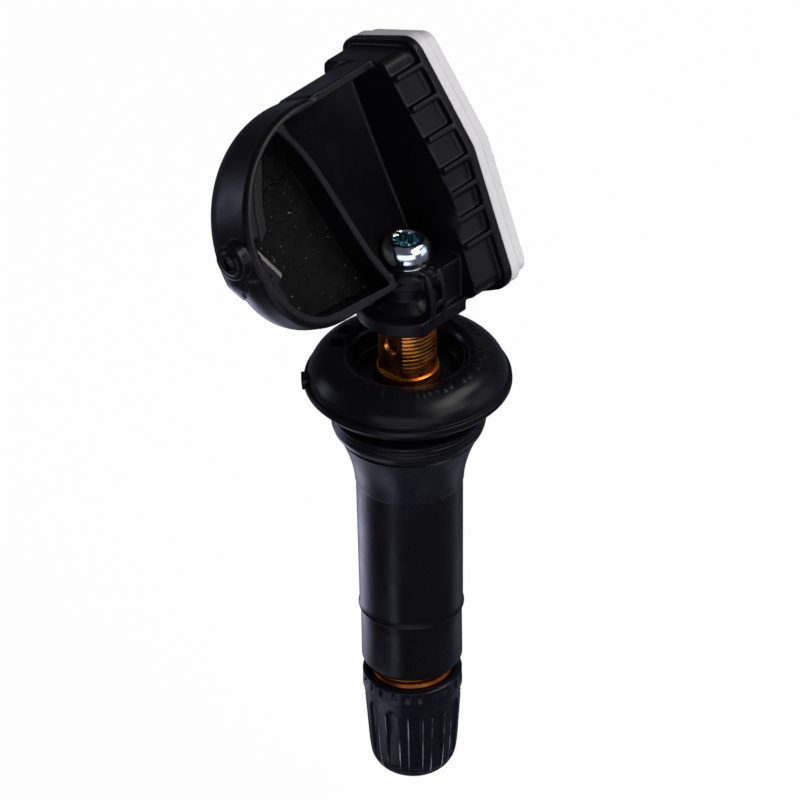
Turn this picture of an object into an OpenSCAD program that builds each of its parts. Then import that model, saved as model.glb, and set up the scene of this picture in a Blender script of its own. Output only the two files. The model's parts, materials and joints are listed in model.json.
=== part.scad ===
// Snap-in tyre pressure sensor: a rubber valve with a sensor housing screwed to its inner end.
// Z runs along the valve from the cap, below, to the sensor, above. Z = 0 is the face of the
// rubber flange that bears on the inside of the rim. X points out through the sensor's lid.

/* [Rubber valve] */
// Hole in the rim that the valve is pulled into
rim_hole_d = 11.7; // [11.3:0.1:12.1]
// Gap of the rim groove between the flange and the bulge
rim_groove = 1.7; // [1.4:0.1:3.5]
// Diameter of the flange inside the rim
flange_d = 19.2; // [18.5:0.1:21]
// Height from the seat to the flange's widest edge
flange_edge_z = 1.5; // [1.2:0.1:1.8]
// Height from the seat to the crest of the flange
flange_crest_z = 4.4; // [4.2:0.1:5]
// Diameter of the recess in the flange
recess_d = 10.4; // [10:0.1:11.5]
// Depth of the recess below the crest
recess_depth = 2.4; // [1.8:0.1:2.6]
// Diameter of the bulge that snaps through the rim hole
bulge_d = 14.3; // [13.8:0.1:15.4]
// Height of the bulge
bulge_h = 2.1; // [1.8:0.1:2.6]
// Diameter of the rubber stem under the bulge
stem_top_d = 10.1; // [9.6:0.1:10.6]
// Diameter of the rubber stem at its end
stem_end_d = 9.4; // [9.1:0.1:9.6]
// Length of the rubber from the seat to its end
rubber_len = 30; // [26:0.2:40]
// Length of the thinner bead at the end of the rubber
bead_len = 6.2; // [4:0.1:8]

/* [Brass stem] */
// Thread at the mouth of the valve
thread_d = 7.7; // [7.6:0.02:7.8]
// Length of thread that stands out of the rubber
thread_len = 10; // [9:0.1:12]
// Diameter of the brass inside the rubber
tube_d = 5.9; // [5.8:0.1:6.6]
// Diameter of the post that carries the sensor
post_d = 5.4; // [5.2:0.1:6]
// Height of the ring at the foot of the post
post_ring_h = 0.95; // [0.6:0.05:1.2]
// Height of the post's end above the seat
post_end_z = 10.2; // [9.6:0.1:11]
// Distance from the axis to the flat milled on the post
post_flat = 2.3; // [2.1:0.05:2.5]
// Diameter of the air hole through the flat
air_hole_d = 1.6; // [1.2:0.1:1.8]
// Height of the air hole above the seat
air_hole_z = 6; // [5:0.1:6.2]
// Diameter of the air passage
passage_d = 2.4; // [1.8:0.1:2.6]

/* [Valve core] */
// Diameter of the core's thread
core_thread_d = 5.2; // [5:0.05:5.3]
// Length of the core's threaded plug
core_plug_len = 4.2; // [3.5:0.1:5]
// Length of the core's barrel above the plug
core_barrel_len = 9.4; // [8:0.1:11]
// Diameter of the core's barrel
core_barrel_d = 3.5; // [3.2:0.05:3.7]
// Diameter of the core's pin
core_pin_d = 0.9; // [0.7:0.05:1]
// Travel of the pin when it is pressed
core_travel = 1.2; // [0.8:0.1:1.6]
// Diameter of the spring's wire
spring_wire_d = 0.26; // [0.2:0.02:0.3]
// Turns of the spring
spring_turns = 7; // [5:1:9]

/* [Valve cap] */
// Diameter of the cap
cap_d = 9.3; // [9:0.1:10]
// Distance from the valve's mouth to the cap's closed end
cap_floor = 2.5; // [2:0.1:3.5]
// Gap between the rubber and the cap
cap_gap = 1.2; // [0.6:0.1:2]
// Number of flutes round the cap
cap_flutes = 12; // [8:1:18]
// Radius of a flute
flute_r = 0.74; // [0.4:0.02:0.8]
// Rounding of the cap's closed end
cap_round = 2.4; // [1.2:0.1:2.6]
// Taper of the cap's side, on the radius
cap_taper = 0.25; // [0.2:0.05:0.35]
// Depth of a flute
flute_depth = 0.28; // [0.2:0.02:0.32]
// Height of the smooth band above the flutes
cap_band = 3.6; // [3.2:0.1:5.5]

/* [Screw] */
// Diameter of the screw's head
head_d = 4.3; // [4:0.1:4.6]
// Height of the screw's head
head_h = 2.4; // [2:0.1:3]
// Diameter of the head's flat top
head_top_d = 3.1; // [2.8:0.1:3.4]
// Diameter of the screw's shank
screw_d = 3; // [2.5:0.1:3.2]
// Height of the screw's seat on the housing
seat_z = 14.3; // [13.8:0.1:15]

/* [Sensor housing] */
// Lean of the housing about the lid's normal, from the valve's axis
tilt = 28.5; // [20:0.5:35]
// Distance along the housing from the screw's axis at the seat to the drum's foot
seat_foot = 1.3; // [1:0.1:1.8]
// Distance across the housing from its front corner to the screw's axis at the seat
seat_w = 3.6; // [3.4:0.1:4]
// Length of the tray
tray_len = 25.1; // [23:0.1:27]
// Width of the tray at its two ends
tray_end_w = 10.4; // [9:0.1:12]
// Width of the tray at its middle
tray_mid_w = 14; // [13.5:0.1:17]
// Distance from the top of the tray to its widest place
tray_mid_l = 11.4; // [10.5:0.1:13]
// Slant of the tray's top edge, the back end higher
tray_slant = 1.1; // [0:0.1:2]
// Radius of the tray's corners
tray_corner_r = 2; // [1:0.1:3]
// Distance from the valve's axis to the back of the tray
tray_x = 3.6; // [3.4:0.1:4.4]
// Height of the tray's ribbed wall
tray_wall_h = 3.4; // [3:0.1:4.5]
// Thickness of the tray's walls
tray_wall = 1; // [0.8:0.1:1.3]
// Overhang of the lip round the tray
lip_out = 0.7; // [0.4:0.05:0.9]
// Thickness of the lip
lip_h = 0.9; // [0.6:0.1:1.2]
// Thickness of a rib on the tray's wall
rib_t = 0.55; // [0.4:0.05:0.9]
// Spacing of the ribs above the tray's widest place
rib_pitch = 3.1; // [2.6:0.1:3.4]
// Spacing of the ribs below it
rib_low_pitch = 2.5; // [2.2:0.1:2.8]
// Distance from the top of the tray to its first rib
rib_start = 2.6; // [2.2:0.1:3]
// Thickness of the lid's edge
lid_h = 2.3; // [1.6:0.1:2.8]

/* [Battery drum] */
// Radius of the drum
drum_r = 11.4; // [10.6:0.1:12]
// Distance from the valve's axis to the drum's centre
drum_x = 6.4; // [5.8:0.1:7.4]
// Radius of the drum's heel as a share of the drum's
heel_share = 0.605; // [0.55:0.005:0.65]
// Distance along the housing from the drum's centre to the heel's
heel_drop = 1.3; // [0.8:0.1:2]
// Distance from the housing's front corner to the drum's front edge
drum_front = 1.9; // [1.6:0.1:2.4]
// Thickness of the drum
drum_t = 7.3; // [7.2:0.1:8.5]
// Rounding of the drum's back edge
drum_round = 3.6; // [2:0.1:3.8]
// Depth of the pocket in the drum's front
pocket_depth = 2.9; // [1.5:0.1:3.1]
// Thickness of the rim round the pocket
pocket_rim = 0.7; // [0.5:0.05:1.1]
// Thickness of the curved web beside the pocket
web_t = 0.8; // [0.6:0.05:1.2]
// Radius of the scoop between the web and the tray
scoop_r = 11; // [9:0.1:14]
// Depth of the scoop
scoop_depth = 4; // [3:0.1:4.1]
// Diameter of the air port's boss
port_d = 3.5; // [2.8:0.1:3.8]

/* [Electronics] */
// Diameter of the coin cell
cell_d = 15.8; // [15:0.1:15.9]
// Thickness of the coin cell
cell_t = 1.6; // [1.2:0.1:1.6]
// Thickness of the circuit board
board_t = 0.8; // [0.6:0.1:1]
// Diameter of the antenna's wire
wire_d = 0.6; // [0.4:0.05:0.8]

/* [Hidden] */

// Clearance between parts that are moulded or pressed together
bond = 0.01;
// Clearance between parts that are assembled
fit = 0.08;
eps = 0.01;
$fn = 72;

// Valve heights, from the seat down
flange_r = flange_d / 2;
bulge_r = bulge_d / 2;
bulge_top = -rim_groove;
bulge_bottom = bulge_top - bulge_h;
flare_top = bulge_bottom - 0.5;
flare_len = 6.2;
recess_floor = flange_crest_z - recess_depth;
mouth_z = -rubber_len - thread_len;
cap_top = -rubber_len - cap_gap;
cap_end = mouth_z - cap_floor;
cap_len = cap_top - cap_end;

// Core heights, from the mouth up
core_start = mouth_z + 0.4;
plug_end = core_start + core_plug_len;
barrel_end = plug_end + core_barrel_len;
gasket_z = plug_end + 3.6;
gasket_h = 1.5;
spring_od = core_barrel_d - 1.05;
spring_foot = plug_end + 0.9;
spring_head = barrel_end - 1.2;
cup_r = core_barrel_d / 2 - 0.15;
cup_seal_t = 0.5;
cup_h = 1.3;

// Screw
shank_end = post_end_z - 3;
shank_hole_r = screw_d / 2 + fit;

// Housing
drum_back = drum_front + drum_t;
drum_top = 0.3;
heel_r = drum_r * heel_share;
heel_round = heel_r * 0.78;
drum_len = drum_r + heel_drop + heel_r;
drum_foot = drum_top + drum_len;
seat_l = drum_foot - seat_foot;
heel_x = drum_x + sqrt(pow(drum_r - heel_r, 2) - pow(heel_drop, 2));
tray_lip_x = tray_x + tray_wall_h;
tray_face_x = tray_lip_x + lip_h;
tray_mid_y = tray_end_w / 2 - 0.2;
floor_x = tray_x + 0.9;
cell_x = drum_x + 0.9;
cell_l = drum_top + 1.8 + cell_d / 2;
cell_back = drum_back - 0.85;
tab_t = 0.15;
cell_room_t = cell_t + 2 * tab_t + 0.1;
cell_mid = cell_back - cell_room_t / 2;
board_x = floor_x + 1.55;
stake_spots = [[tray_mid_y - 2.6, 3.2], [tray_mid_y + 2.6, tray_len - 3.2]];
rib_places = concat([for (i = [0 : 3]) rib_start + i * rib_pitch],
    [for (i = [1 : 3]) rib_start + 3 * rib_pitch + i * rib_low_pitch]);
plate_t = 1.2;
collar_z = post_end_z - 1.4;
collar_r = 4.7;
neck_r = screw_d / 2 + 0.8;
cradle_r = 3.6;
cradle_front = 3.4;
port_l = 10.2;
port_w = drum_front + 2.1;
port_face_x = -drum_x - drum_r - 1.2;
filter_d = 1.28;
filter_t = 0.2;
filter_seat = 0.7;
web_start = [-drum_x - 3.8, drum_top + 0.3];
web_end = [-3.7, seat_l + 0.6];
pocket_floor = drum_front + pocket_depth;
slope_centre = [-drum_x + 5.9, drum_top + drum_r + 0.3];
slope_r = drum_r + 4.5;
slope_run = 1.2;
slope_end_l = drum_top + drum_r - 2.1;
cusp = [-drum_x - drum_r + 0.6, slope_end_l + 0.8];
cusp_r = 1.6;
board_half = tray_mid_w / 2 - lip_out - tray_wall - 0.25;
chip_w = tray_mid_y - 2.4;
wire_l = tray_len * 0.2;
pressure_l = tray_len * 0.32;
crystal_l = tray_len * 0.44;
radio_l = tray_len * 0.56;
crystal_w = tray_mid_y - board_half + 1.5;
coil_l = tray_len - 5.5;
capacitor_l = coil_l - 2;
wire_w = chip_w + 2.8;

// Places the housing's own frame: x through the lid, y across, z up along its length
module in_housing() {
    translate([0, 0, seat_z]) rotate([-tilt, 0, 0]) translate([0, -seat_w, seat_l]) children();
}

// Raises a flat shape, drawn across and along the housing, from x0 to x1
module plate_x(x0, x1) {
    translate([x0, 0, 0]) rotate([90, 0, 90]) linear_extrude(x1 - x0) children();
}

// Raises a flat shape, drawn along x and the housing's length, from y0 to y1
module plate_y(y0, y1) {
    translate([0, y1, 0]) rotate([90, 0, 0]) linear_extrude(y1 - y0) children();
}

// Points of an arc about c
function arc(c, r, a0, a1, n) =
    [for (i = [0 : n]) c + r * [cos(a0 + (a1 - a0) * i / n), sin(a0 + (a1 - a0) * i / n)]];

// Point of a curve with two guide points
function curve(p, t) =
    pow(1 - t, 3) * p[0] + 3 * t * pow(1 - t, 2) * p[1] + 3 * t * t * (1 - t) * p[2]
    + pow(t, 3) * p[3];

// Corners of a closed outline, each rounded by r
function unit(v) = v / norm(v);
function round_corner(a, b, c, r, n) =
    let (u = unit(a - b), v = unit(c - b), half = acos(u * v) / 2,
         centre = b + unit(u + v) * r / sin(half),
         s = b + u * r / tan(half) - centre, e = b + v * r / tan(half) - centre)
    [for (i = [0 : n]) centre + r * unit(s * (n - i) + e * i)];
function rounded(p, r, n = 6) =
    [for (i = [0 : len(p) - 1], q = round_corner(p[(i + len(p) - 1) % len(p)], p[i],
        p[(i + 1) % len(p)], r, n)) q];

// Six-sided outline of the tray, drawn in by a margin
module tray_outline(inset) {
    end_half = tray_end_w / 2 - inset;
    mid_half = tray_mid_w / 2 - inset;
    corners = [[tray_mid_y - end_half, -inset], [tray_mid_y + end_half - 1, tray_slant - inset],
        [tray_mid_y + mid_half, -tray_mid_l],
        [tray_mid_y + end_half, -tray_len + inset],
        [tray_mid_y - end_half, -tray_len + inset],
        [tray_mid_y - mid_half, -tray_mid_l]];
    polygon(rounded(corners, max(tray_corner_r - inset, 0.4)));
}

// Disc of the drum with its back edge rounded
module drum_disc(r, edge) {
    rotate([90, 0, 0]) mirror([0, 0, 1]) rotate_extrude($fn = 56) polygon(concat(
        [[0, drum_front], [r, drum_front]],
        arc([r - edge, drum_back - edge], edge, 0, 90, 6),
        [[0, drum_back]]));
}

// Battery drum: a round top, a tighter heel and a flat foot that runs to the tray
module drum_shape() {
    hull($fn = 32) {
        intersection() {
            translate([-drum_x, 0, -drum_top - drum_r]) drum_disc(drum_r, drum_round);
            translate([-40, 0, -drum_top - drum_r - heel_drop]) cube([40, 20, 40]);
        }
        translate([-heel_x, 0, -drum_foot + heel_r]) drum_disc(heel_r, heel_round);
        plate_x(tray_x - 0.5, tray_x + 0.1) {
            translate([drum_front, -drum_foot]) square([1, drum_len]);
            translate([drum_back - drum_round, -drum_top - drum_round]) circle(drum_round);
            translate([drum_back - heel_round, -drum_foot + heel_round]) circle(heel_round);
        }
    }
}

// Edge of the web, beside the pocket, moved sideways by an offset
web_guides = [web_start, [-5.9, 4.4], [-6.5, 13.4], web_end];
function web_line(offset) = [for (i = [0 : 16]) let (p = curve(web_guides, i / 16))
    [p.x + offset, -p.y]];

// Everything to the left of the web, or to its right
module left_of_web(offset) {
    p = web_line(offset);
    polygon(concat([[-30, 5]], [[p[0].x, 5]], p, [[p[16].x, -40], [-30, -40]]));
}
module right_of_web(offset) {
    p = web_line(offset);
    polygon(concat([[30, 5], [p[0].x, 5]], p, [[p[16].x, -40], [30, -40]]));
}

// Outline of the pocket: along the drum's round top, round the heel and along the foot
heel_guides = [[-drum_x - drum_r + pocket_rim + 0.1, 10], [-16.6, 15.6], [-14.6, 18.6],
    [-10.8, drum_foot - 1.1]];
module pocket_outline() {
    centre = [-drum_x, -drum_top - drum_r];
    polygon(concat(
        arc(centre, drum_r - pocket_rim, 60, 170, 24),
        [for (i = [0 : 12]) let (p = curve(heel_guides, i / 12)) [p.x, -p.y]],
        [[web_end.x + 1, -drum_foot + 0.55], [web_end.x + 1, -drum_top - 2]]));
}

// Pocket in the drum's front, left of the web
module pocket() {
    difference() {
        plate_y(-1, pocket_floor) intersection() {
            left_of_web(-web_t / 2);
            pocket_outline();
        }
        pocket_slope();
    }
}

// Slope between the rim and the floor, on the pocket's upper side, ending in a cusp
module pocket_slope() {
    difference() {
        plate_y(drum_front - eps, pocket_floor + 1) difference() {
            translate([-drum_x - drum_r - 2, -slope_end_l]) square([drum_r + 1, slope_end_l + 1]);
            translate([cusp.x, -cusp.y]) circle(cusp_r);
        }
        translate([slope_centre.x, drum_front, -slope_centre.y]) rotate([-90, 0, 0]) {
            cylinder(r1 = slope_r, r2 = slope_r - slope_run * pocket_depth, h = pocket_depth, $fn = 96);
            translate([0, 0, -2]) cylinder(r = slope_r, h = 2 + eps, $fn = 96);
        }
    }
}

// Round marks left by the mould's pins in the pocket's floor
module pocket_marks() {
    for (m = [[-9, 4.8, 1.45], [-10.3, 8, 1.8]])
        translate([m.x, pocket_floor - 0.7, -m.y]) rotate([-90, 0, 0])
            cylinder(r = m.z, h = 0.95, $fn = 40);
}

// Hollow between the web and the tray, with a curved floor
module scoop() {
    lean = 13;
    intersection() {
        plate_y(-5, drum_back) intersection() {
            right_of_web(web_t / 2);
            translate([-20, -drum_foot - 5]) square([20 + tray_x, drum_foot + 4.2 - drum_top]);
        }
        translate([-0.2, drum_front + scoop_depth - scoop_r, 0]) rotate([0, -lean, 0])
            translate([0, 0, -40]) cylinder(r = scoop_r, h = 60, $fn = 120);
        above_seat();
    }
}

// Space above the screw's seat, in the housing's frame
module above_seat() {
    translate([0, seat_w, -seat_l]) rotate([tilt, 0, 0]) translate([-30, -30, 0])
        cube([60, 60, 60]);
}

// Boss of the air port on the drum's rim
module port_boss() {
    translate([port_face_x, port_w, -port_l]) rotate([0, 90, 0]) {
        translate([0, 0, 0.2]) cylinder(d = port_d, h = 2.2);
        cylinder(d = port_d * 0.62, h = 2.4);
    }
}

// Seat for the port's filter, and the slanting air passage from it to the coin cell's room
module port_bore() {
    lean = 40;
    reach = 1.6 * (drum_r - cell_d / 2);
    translate([port_face_x - 1, port_w, -port_l]) rotate([0, 90, 0])
        cylinder(d = filter_d + 2 * bond, h = 1 + filter_seat);
    translate([port_face_x + 0.6, port_w + 0.25, -port_l]) rotate([0, 90, lean])
        cylinder(d = 0.6, h = reach);
}

// Cradle that holds the post: collar, neck, seat plate and two curved fins, in the valve's frame
module cradle() {
    translate([0, 0, seat_z - plate_t]) cylinder(r = cradle_r, h = plate_t);
    translate([0, -cradle_front, seat_z - plate_t]) cube([tray_x, cradle_front + 3, plate_t]);
    translate([0, 0, collar_z]) intersection() {
        cylinder(r = collar_r, h = 1.4);
        translate([-10, -cradle_front - 0.7, 0]) cube([20, 20, 5]);
    }
    translate([0, -cradle_front - 0.7, collar_z]) cube([tray_x, cradle_front + 4, 1.4]);
    translate([0, 0, collar_z]) cylinder(r = neck_r, h = seat_z - collar_z - eps);
    translate([0, 0, post_end_z]) cylinder(r1 = post_d / 2 + 0.7, r2 = neck_r, h = 1);
    translate([1.6, -cradle_front, collar_z]) cube([tray_x - 1.6, 6, seat_z - collar_z - eps]);
    translate([-3.4, 1.6, collar_z]) cube([tray_x + 3.4, 3, 3.4]);
    for (x = [-1.4, 0.2]) translate([x, 0, 0]) cradle_fin();
    translate([-1, -cradle_front - 0.9, 11.2]) cube([1.6, 0.6, 0.6]);
}

// One curved fin between the collar and the seat plate
module cradle_fin() {
    fin_r = 6;
    mid = (seat_z + collar_z) / 2;
    intersection() {
        translate([0, fin_r - cradle_front - 1, mid]) rotate([0, 90, 0]) difference() {
            cylinder(r = fin_r, h = 0.6);
            translate([0, 0, -1]) cylinder(r = fin_r - 0.9, h = 3);
        }
        translate([-1, -8, collar_z]) cube([3, 8, seat_z - collar_z + 0.3]);
    }
}

// Room for the post in the collar, with its flat, and for the screw above it
module post_room() {
    difference() {
        translate([0, 0, collar_z - 3]) cylinder(d = post_d + 2 * fit, h = post_end_z - collar_z + 3);
        translate([-post_d - post_flat - fit, -post_d, collar_z - 4]) cube([post_d, 2 * post_d, 20]);
    }
    translate([0, 0, collar_z]) cylinder(r = shank_hole_r, h = 20);
    translate([0, 0, seat_z]) cylinder(d = head_d + 0.5, h = 30);
}

// Ribs that stand between the tray's wall and its lip
module tray_ribs() {
    intersection() {
        plate_x(tray_x + 0.1, tray_lip_x + eps) tray_outline(0.12);
        for (l = rib_places) translate([0, -20, -l - rib_t / 2]) cube([20, 50, rib_t]);
    }
}

module sensor_housing() {
    color("#26262d") difference() {
        union() {
            in_housing() difference() {
                union() {
                    drum_shape();
                    port_boss();
                }
                pocket();
                pocket_marks();
                scoop();
            }
            in_housing() {
                plate_x(tray_x, tray_lip_x + eps) tray_outline(lip_out);
                plate_x(tray_lip_x, tray_face_x) tray_outline(0);
                tray_ribs();
            }
            cradle();
        }
        in_housing() {
            difference() {
                plate_x(floor_x, tray_face_x + 1) tray_outline(lip_out + tray_wall);
                for (s = stake_spots) stake(s, 1, board_x);
            }
            cell_room();
            port_bore();
        }
        post_room();
    }
    color("#26262d") in_housing() for (s = stake_spots) stake(s, 0.5, board_x + board_t + 0.25);
}

// Post that the circuit board is staked on
module stake(spot, r, top_x) {
    translate([floor_x - 0.2, spot.x, -spot.y]) rotate([0, 90, 0])
        cylinder(r = r, h = top_x - floor_x + 0.2, $fn = 32);
}

// Room for the coin cell, open to the tray
module cell_room() {
    r = cell_d / 2 + 0.1;
    translate([-cell_x, cell_back, -cell_l]) rotate([90, 0, 0]) cylinder(r = r, h = cell_room_t);
    translate([-cell_x, cell_back - cell_room_t, -cell_l - r])
        cube([cell_x + floor_x + eps, cell_room_t, 2 * r]);
}

module base_lid() {
    step = lid_h * 0.45;
    color("#e4e6ea") in_housing() {
        plate_x(tray_face_x + bond, tray_face_x + step) tray_outline(0.1);
        plate_x(tray_face_x + step - eps, tray_face_x + lid_h) tray_outline(0.55);
        plate_x(tray_face_x - 0.6, tray_face_x + 2 * bond) tray_outline(lip_out + tray_wall + fit);
    }
}

module circuit_board() {
    color("#1f5f3a") in_housing() difference() {
        plate_x(board_x, board_x + board_t) tray_outline(lip_out + tray_wall + 0.25);
        for (s = stake_spots) translate([board_x - 1, s.x, -s.y]) rotate([0, 90, 0])
            cylinder(r = 0.5 + fit, h = 3, $fn = 32);
    }
}

module coin_cell() {
    r = cell_d / 2;
    color("#b9bcc0") in_housing() translate([-cell_x, cell_mid + cell_t / 2, -cell_l])
        rotate([90, 0, 0]) rotate_extrude() polygon([[0, 0], [r - 0.3, 0], [r, 0.3],
            [r, cell_t - 0.3], [r - 0.2, cell_t - 0.12], [r - 1.2, cell_t - 0.12],
            [r - 1.3, cell_t], [0, cell_t]]);
}

// Strip of sheet metal from a face of the coin cell to a foot on the circuit board
module cell_tab(l, side) {
    reach = cell_d / 2 - 1;
    foot = 1.1;
    in_housing() translate([0, cell_mid + side * (cell_t / 2 + bond), -l - 1]) {
        translate([board_x - bond - reach - 2, min(side, 0) * tab_t, 0])
            cube([reach + 2, tab_t, 2]);
        translate([board_x - bond - tab_t, side > 0 ? tab_t - foot : -tab_t, 0])
            cube([tab_t, foot, 2]);
    }
}
module cell_tab_positive() {
    color("#c9c4b4") cell_tab(cell_l - 3.2, 1);
}
module cell_tab_negative() {
    color("#c9c4b4") cell_tab(cell_l + 3.2, -1);
}

// Part soldered to the board's inner face, by its place across and along the board
module on_board(w, l) {
    in_housing() translate([board_x - 0.02, w, -l]) rotate([0, -90, 0]) children();
}

module pressure_chip() {
    color("#3a3a40") on_board(chip_w, pressure_l) difference() {
        translate([-2, -1.8, 0]) cube([4, 3.6, 1.25]);
        translate([0, 0, 0.9]) cylinder(r = 0.5, h = 1);
    }
}
module radio_chip() {
    color("#2b2b30") on_board(chip_w, radio_l) translate([-2, -2, 0]) cube([4, 4, 0.9]);
}
module quartz_crystal() {
    color("#c8cacc") on_board(crystal_w, crystal_l) {
        translate([-0.6, -1.1, 0]) cube([1.2, 2.2, 0.3]);
        translate([-0.5, -1, 0.3 - eps]) cube([1, 2, 0.4]);
    }
}
module chip_capacitors() {
    color("#b59a6c") for (i = [0 : 3]) on_board(chip_w - 1.3 + i * 1.1, capacitor_l)
        translate([-0.25, -0.4, 0]) cube([1, 0.55, 0.5]);
}

// Ferrite bobbin with square ends, and the winding between them
module coil_core() {
    color("#45454a") on_board(tray_mid_y - 0.8, coil_l) {
        translate([-0.45, -2.4, 0.25]) cube([0.9, 4.8, 0.8]);
        for (y = [-2.4, 1.8]) translate([-0.7, y, 0]) cube([1.4, 0.6, 1.3]);
    }
}
module trigger_coil() {
    color("#b06a2c") on_board(tray_mid_y - 0.8, coil_l) difference() {
        translate([-0.62, -1.75, 0.08]) cube([1.24, 3.5, 1.14]);
        translate([-0.46, -3, 0.24]) cube([0.92, 6, 0.82]);
    }
}

// Looped wire, held off the board on its two legs
module antenna_wire() {
    r = wire_d / 2;
    reach = 8.4;
    color("#c8873c") on_board(wire_w, wire_l) {
        for (x = [0, -reach]) translate([x, 0, 0]) cylinder(r = r, h = 0.8, $fn = 24);
        translate([-reach, 0, 0.8]) rotate([0, 90, 0]) cylinder(r = r, h = reach, $fn = 24);
        for (x = [0, -reach]) translate([x, 0, 0.8]) sphere(r = r, $fn = 24);
    }
}

// Disc that lets air, but no water, into the housing
module port_filter() {
    color("#dcdcd6") in_housing()
        translate([port_face_x + filter_seat - filter_t - bond, port_w, -port_l])
            rotate([0, 90, 0]) cylinder(d = filter_d, h = filter_t, $fn = 40);
}

module mounting_screw() {
    top_r = head_top_d / 2;
    shoulder = head_d / 2 - top_r;
    recess_r = top_r * 0.82;
    recess_h = head_h * 0.45;
    color("#c3cdd2") difference() {
        union() {
            translate([0, 0, seat_z]) rotate_extrude() polygon(concat(
                [[0, 0], [head_d / 2, 0]],
                arc([top_r, head_h - shoulder], shoulder, 0, 90, 5),
                [[0, head_h]]));
            translate([0, 0, shank_end]) cylinder(d = screw_d, h = seat_z - shank_end + eps);
        }
        translate([0, 0, seat_z + head_h - recess_h]) {
            for (a = [0 : 60 : 300]) rotate(a) translate([recess_r * 0.62, 0, 0])
                cylinder(r = recess_r * 0.32, h = 3, $fn = 32);
            cylinder(r = recess_r * 0.66, h = 3);
        }
    }
}

module brass_stem() {
    thread_r = thread_d / 2;
    color("#c8862f") difference() {
        rotate_extrude() polygon([[0, mouth_z], [thread_r - 0.6, mouth_z],
            [thread_r, mouth_z + 0.6], [thread_r, -rubber_len + 0.8], [tube_d / 2, -rubber_len + 2],
            [tube_d / 2, -20], [tube_d / 2 - 0.5, -19.5], [tube_d / 2 - 0.5, -17], [tube_d / 2, -16.5],
            [tube_d / 2, recess_floor + post_ring_h], [post_d / 2, recess_floor + post_ring_h],
            [post_d / 2, post_end_z - 0.2], [post_d / 2 - 0.2, post_end_z], [0, post_end_z]]);
        translate([-post_d - post_flat, -post_d, recess_floor + post_ring_h])
            cube([post_d, 2 * post_d, 20]);
        translate([0, 0, mouth_z - 1]) cylinder(r = core_thread_d / 2 + fit, h = 1.4 + core_plug_len + 0.2);
        translate([0, 0, mouth_z]) cylinder(d = core_thread_d - 0.3, h = gasket_z - mouth_z + gasket_h + 0.3);
        translate([0, 0, mouth_z]) cylinder(d = core_barrel_d + 0.5, h = barrel_end - mouth_z + 5);
        translate([0, 0, mouth_z]) cylinder(d = passage_d, h = air_hole_z + 0.6 - mouth_z);
        translate([-5, 0, air_hole_z]) rotate([0, 90, 0]) cylinder(d = air_hole_d, h = 5);
        translate([0, 0, shank_end - 0.4]) cylinder(d = screw_d + 2 * bond, h = 10);
    }
}

module rubber_body() {
    top = stem_top_d / 2;
    end = stem_end_d / 2;
    bead_z = -rubber_len + bead_len;
    lip_z = flange_edge_z;
    color("#1d1d26") difference() {
        rotate_extrude($fn = 120) polygon(concat(
            [[tube_d / 2 + bond, recess_floor], [recess_d / 2 - 0.5, recess_floor],
             [recess_d / 2 - 0.1, recess_floor + 0.3], [recess_d / 2, flange_crest_z - 0.6]],
            arc([recess_d / 2 + 1.2, flange_crest_z - 1.2], 1.2, 150, 95, 5),
            arc([flange_r - 3.2, flange_crest_z - 2.85], 2.85, 85, 8, 10),
            [[flange_r - 0.45, lip_z + 0.2], [flange_r, lip_z + 0.12], [flange_r, lip_z - 0.35],
             [flange_r - 0.9, 0.25], [flange_r - 1.3, 0], [rim_hole_d / 2 + 0.2, 0],
             [rim_hole_d / 2, -0.2], [rim_hole_d / 2, bulge_top + 0.15],
             [bulge_r - 0.35, bulge_top]],
            arc([bulge_r - 0.35, bulge_top - 0.35], 0.35, 90, 0, 4),
            [[bulge_r - 0.25, bulge_bottom + 0.2], [bulge_r - 0.6, bulge_bottom],
             [bulge_r - 0.8, bulge_bottom - 0.2], [bulge_r - 0.65, flare_top]],
            [for (i = [1 : 8]) let (t = i / 8)
                [top + (bulge_r - 0.65 - top) * pow(1 - t, 1.7), flare_top - flare_len * t]],
            [[end + 0.12, bead_z], [end, bead_z - 0.1], [end, -rubber_len + 0.4],
             [end - 0.4, -rubber_len], [thread_d / 2 + bond, -rubber_len],
             [thread_d / 2 + bond, -rubber_len + 0.8 + bond],
             [tube_d / 2 + bond, -rubber_len + 2 + bond]]));
    }
}

module core_body() {
    color("#b8a56a") difference() {
        union() {
            translate([0, 0, core_start]) cylinder(d = core_thread_d, h = core_plug_len);
            translate([0, 0, plug_end - eps]) cylinder(d = core_barrel_d, h = core_barrel_len);
            translate([0, 0, gasket_z - 0.5]) cylinder(d = core_barrel_d + 0.8, h = 0.5);
        }
        translate([0, 0, core_start - 1]) cylinder(r = 0.85, h = core_plug_len + 2);
        translate([0, 0, plug_end + 0.6]) cylinder(d = spring_od + 0.2, h = spring_head - plug_end - 0.6);
        translate([0, 0, spring_head - 1]) cylinder(r = 0.85, h = 6);
        for (a = [0, 180]) rotate(a) translate([1.5, -4, core_start - 1]) cube([4, 8, 2.6]);
    }
}

module core_gasket() {
    color("#a03a2c") translate([0, 0, gasket_z]) difference() {
        cylinder(d = core_barrel_d + 1.2, h = gasket_h);
        translate([0, 0, -1]) cylinder(r = core_barrel_d / 2 + bond, h = 5);
    }
}

module core_pin() {
    tip = core_start - 0.15;
    color("#c9a24e") {
        translate([0, 0, tip]) cylinder(d = core_pin_d, h = barrel_end + cup_seal_t + 1 - tip);
        translate([0, 0, spring_foot - 0.25]) cylinder(d = spring_od - 0.1, h = 0.25);
        translate([0, 0, tip]) cylinder(r = 0.7, h = 0.5);
    }
}

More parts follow.
